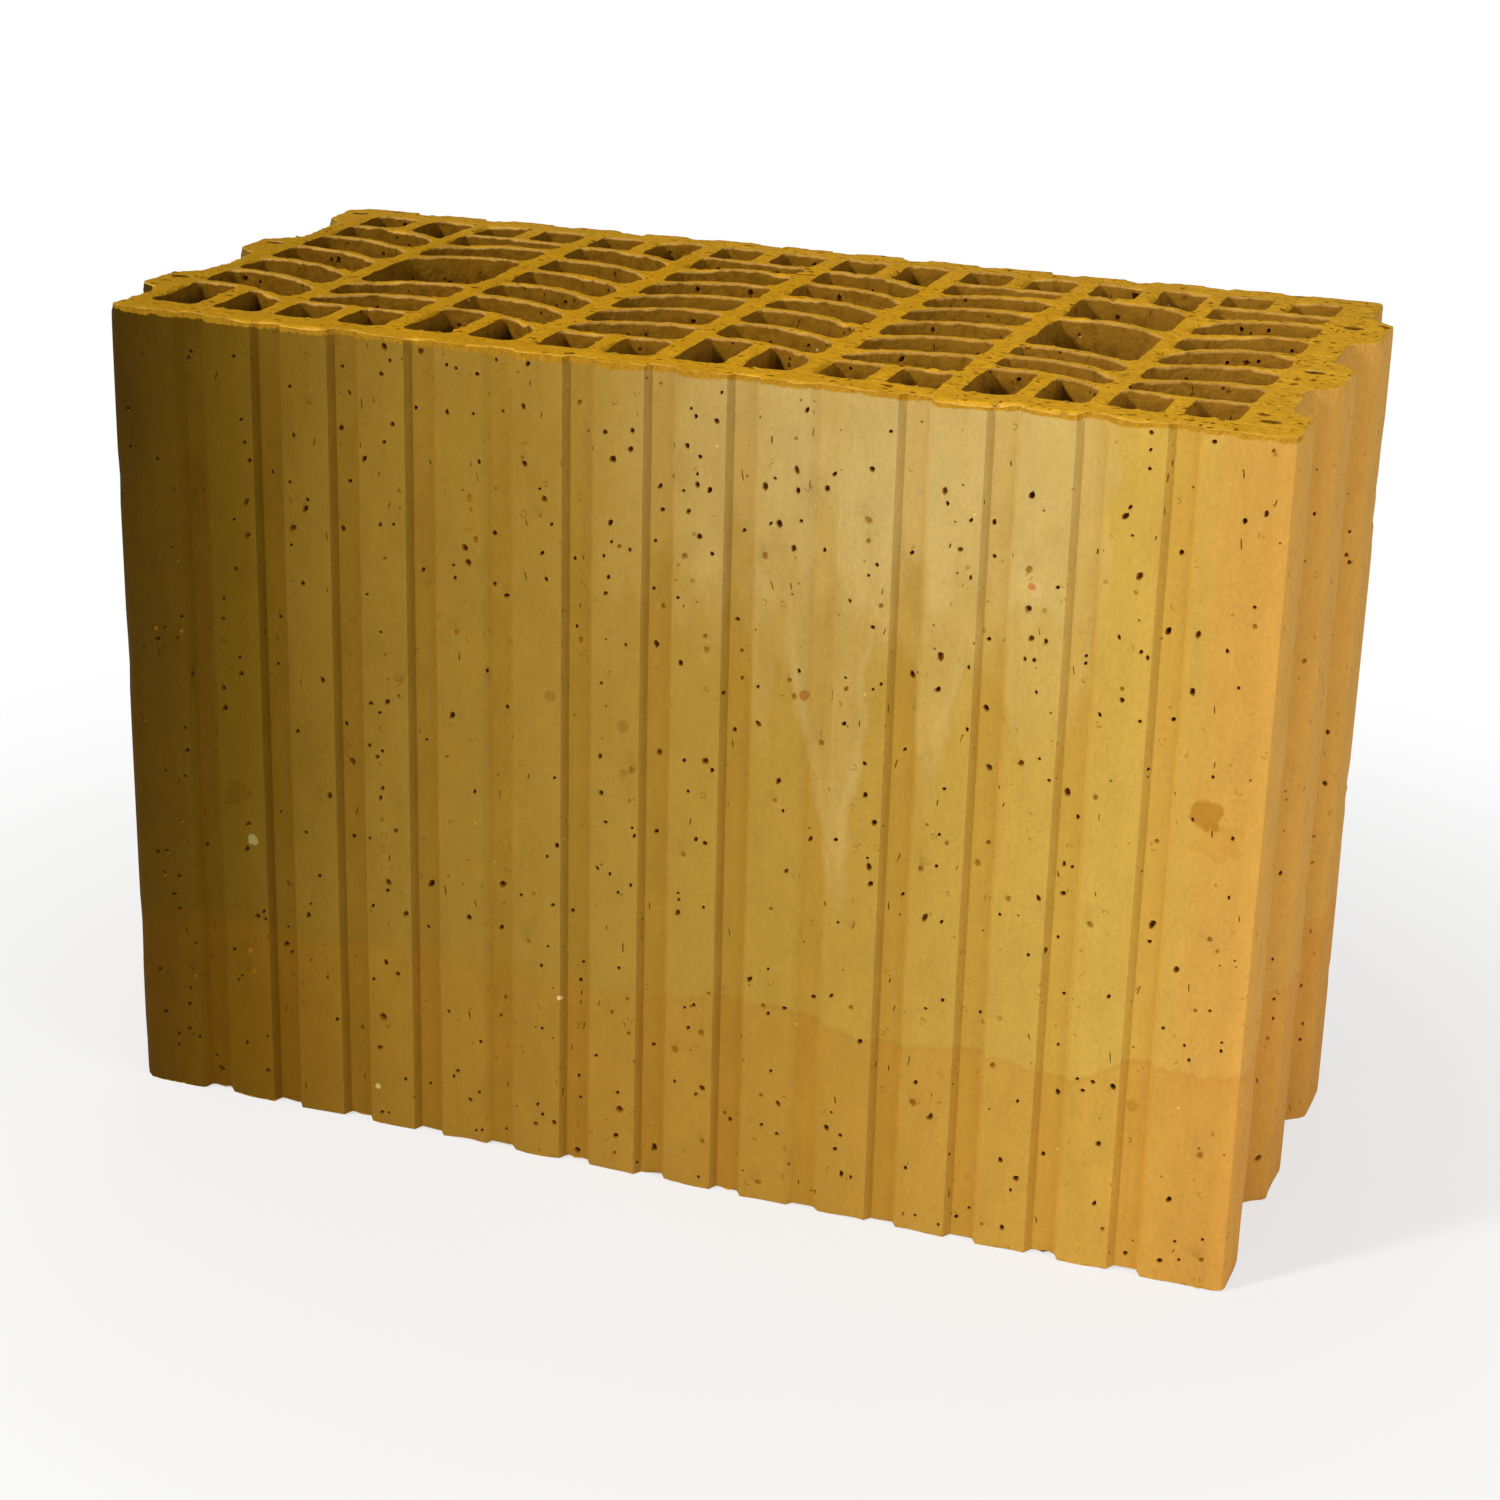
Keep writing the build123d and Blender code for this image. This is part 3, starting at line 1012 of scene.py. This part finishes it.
lamp("window_light", (-0.90, -1.30, 1.25), 0.26, 27, (1.0, 0.985, 0.96))
lamp("room_light", (1.40, -0.60, 0.80), 0.90, 9, (1.0, 0.98, 0.95))
lamp("rear_light", (-0.55, 1.75, 0.50), 1.20, 12, (1.0, 0.985, 0.96))


def white_paper():
    """Pale matt paper that keeps the block's shadow and turns plain white away from it."""
    paper = Finish("white_paper", 0.9)
    paper.shader["Base Color"].default_value = (0.8, 0.8, 0.8, 1)
    seen = paper.node("ShaderNodeLightPath", {}, {}, "Is Camera Ray")
    away = (paper.x ** 2 + paper.y ** 2) ** 0.5
    sheet = Wire(paper, paper.tree.nodes["Principled BSDF"].outputs["BSDF"])
    glow = paper.node("ShaderNodeEmission", {}, {"Color": (1, 1, 1), "Strength": 1.0})
    cover = paper.node("ShaderNodeMixShader", {},
                       {0: seen * paper.ease(away, 150, 480, 0.66, 1.0), 1: sheet, 2: glow})
    paper.feed(paper.tree.nodes["Material Output"].inputs["Surface"], cover)
    return paper.material


def paper_floor(reach):
    """A flat square of paper under the block, reaching this many metres each way."""
    mesh = bpy.data.meshes.new("floor")
    mesh.from_pydata([(-reach, -reach, 0), (reach, -reach, 0), (reach, reach, 0),
                      (-reach, reach, 0)], [], [(0, 1, 2, 3)])
    mesh.materials.append(white_paper())
    sheet = bpy.data.objects.new("floor", mesh)
    bpy.context.scene.collection.objects.link(sheet)
    return sheet


floor = paper_floor(4)


def studio_air(strength):
    """Pale light from all around, plain white where the camera looks past the block."""
    world = bpy.data.worlds.new("studio")
    bpy.context.scene.world = world
    world.use_nodes = True
    air = world.node_tree
    shown = air.nodes.new("ShaderNodeLightPath")
    level = air.nodes.new("ShaderNodeMapRange")
    level.inputs["To Min"].default_value = strength
    level.inputs["To Max"].default_value = 1.0
    background = air.nodes["Background"]
    background.inputs["Color"].default_value = (1, 1, 1, 1)
    air.links.new(shown.outputs["Is Camera Ray"], level.inputs["Value"])
    air.links.new(level.outputs["Result"], background.inputs["Strength"])


studio_air(0.23)

# The photo's camera, fitted to the corners of the block
EYE = (298.8, -823.3, 426.8)
SIGHT = (-0.32478, 0.87374, -0.36206)
ROLL = -1.38                # degrees
LENS, SENSOR = 75.02, 36
PHOTO_SIZE, PHOTO_MIDDLE = 1500, 750
AXIS_ACROSS, AXIS_DOWN = 725, 800       # the pixel that the camera points at


def photo_camera():
    """The camera at the photo's place, angle and framing."""
    data = bpy.data.cameras.new("photo_view")
    data.lens, data.sensor_width = LENS, SENSOR
    data.shift_x = (PHOTO_MIDDLE - AXIS_ACROSS) / PHOTO_SIZE
    data.shift_y = (AXIS_DOWN - PHOTO_MIDDLE) / PHOTO_SIZE
    camera = bpy.data.objects.new("photo_view", data)
    sight = Vector(SIGHT)
    upright = sight.to_track_quat("-Z", "Y").to_matrix().to_4x4()
    tilt = Matrix.Rotation(math.radians(ROLL), 4, sight)
    camera.matrix_world = Matrix.Translation(Vector(EYE) * MM) @ tilt @ upright
    bpy.context.scene.collection.objects.link(camera)
    bpy.context.scene.camera = camera


photo_camera()
bpy.context.scene.view_settings.view_transform = "Standard"
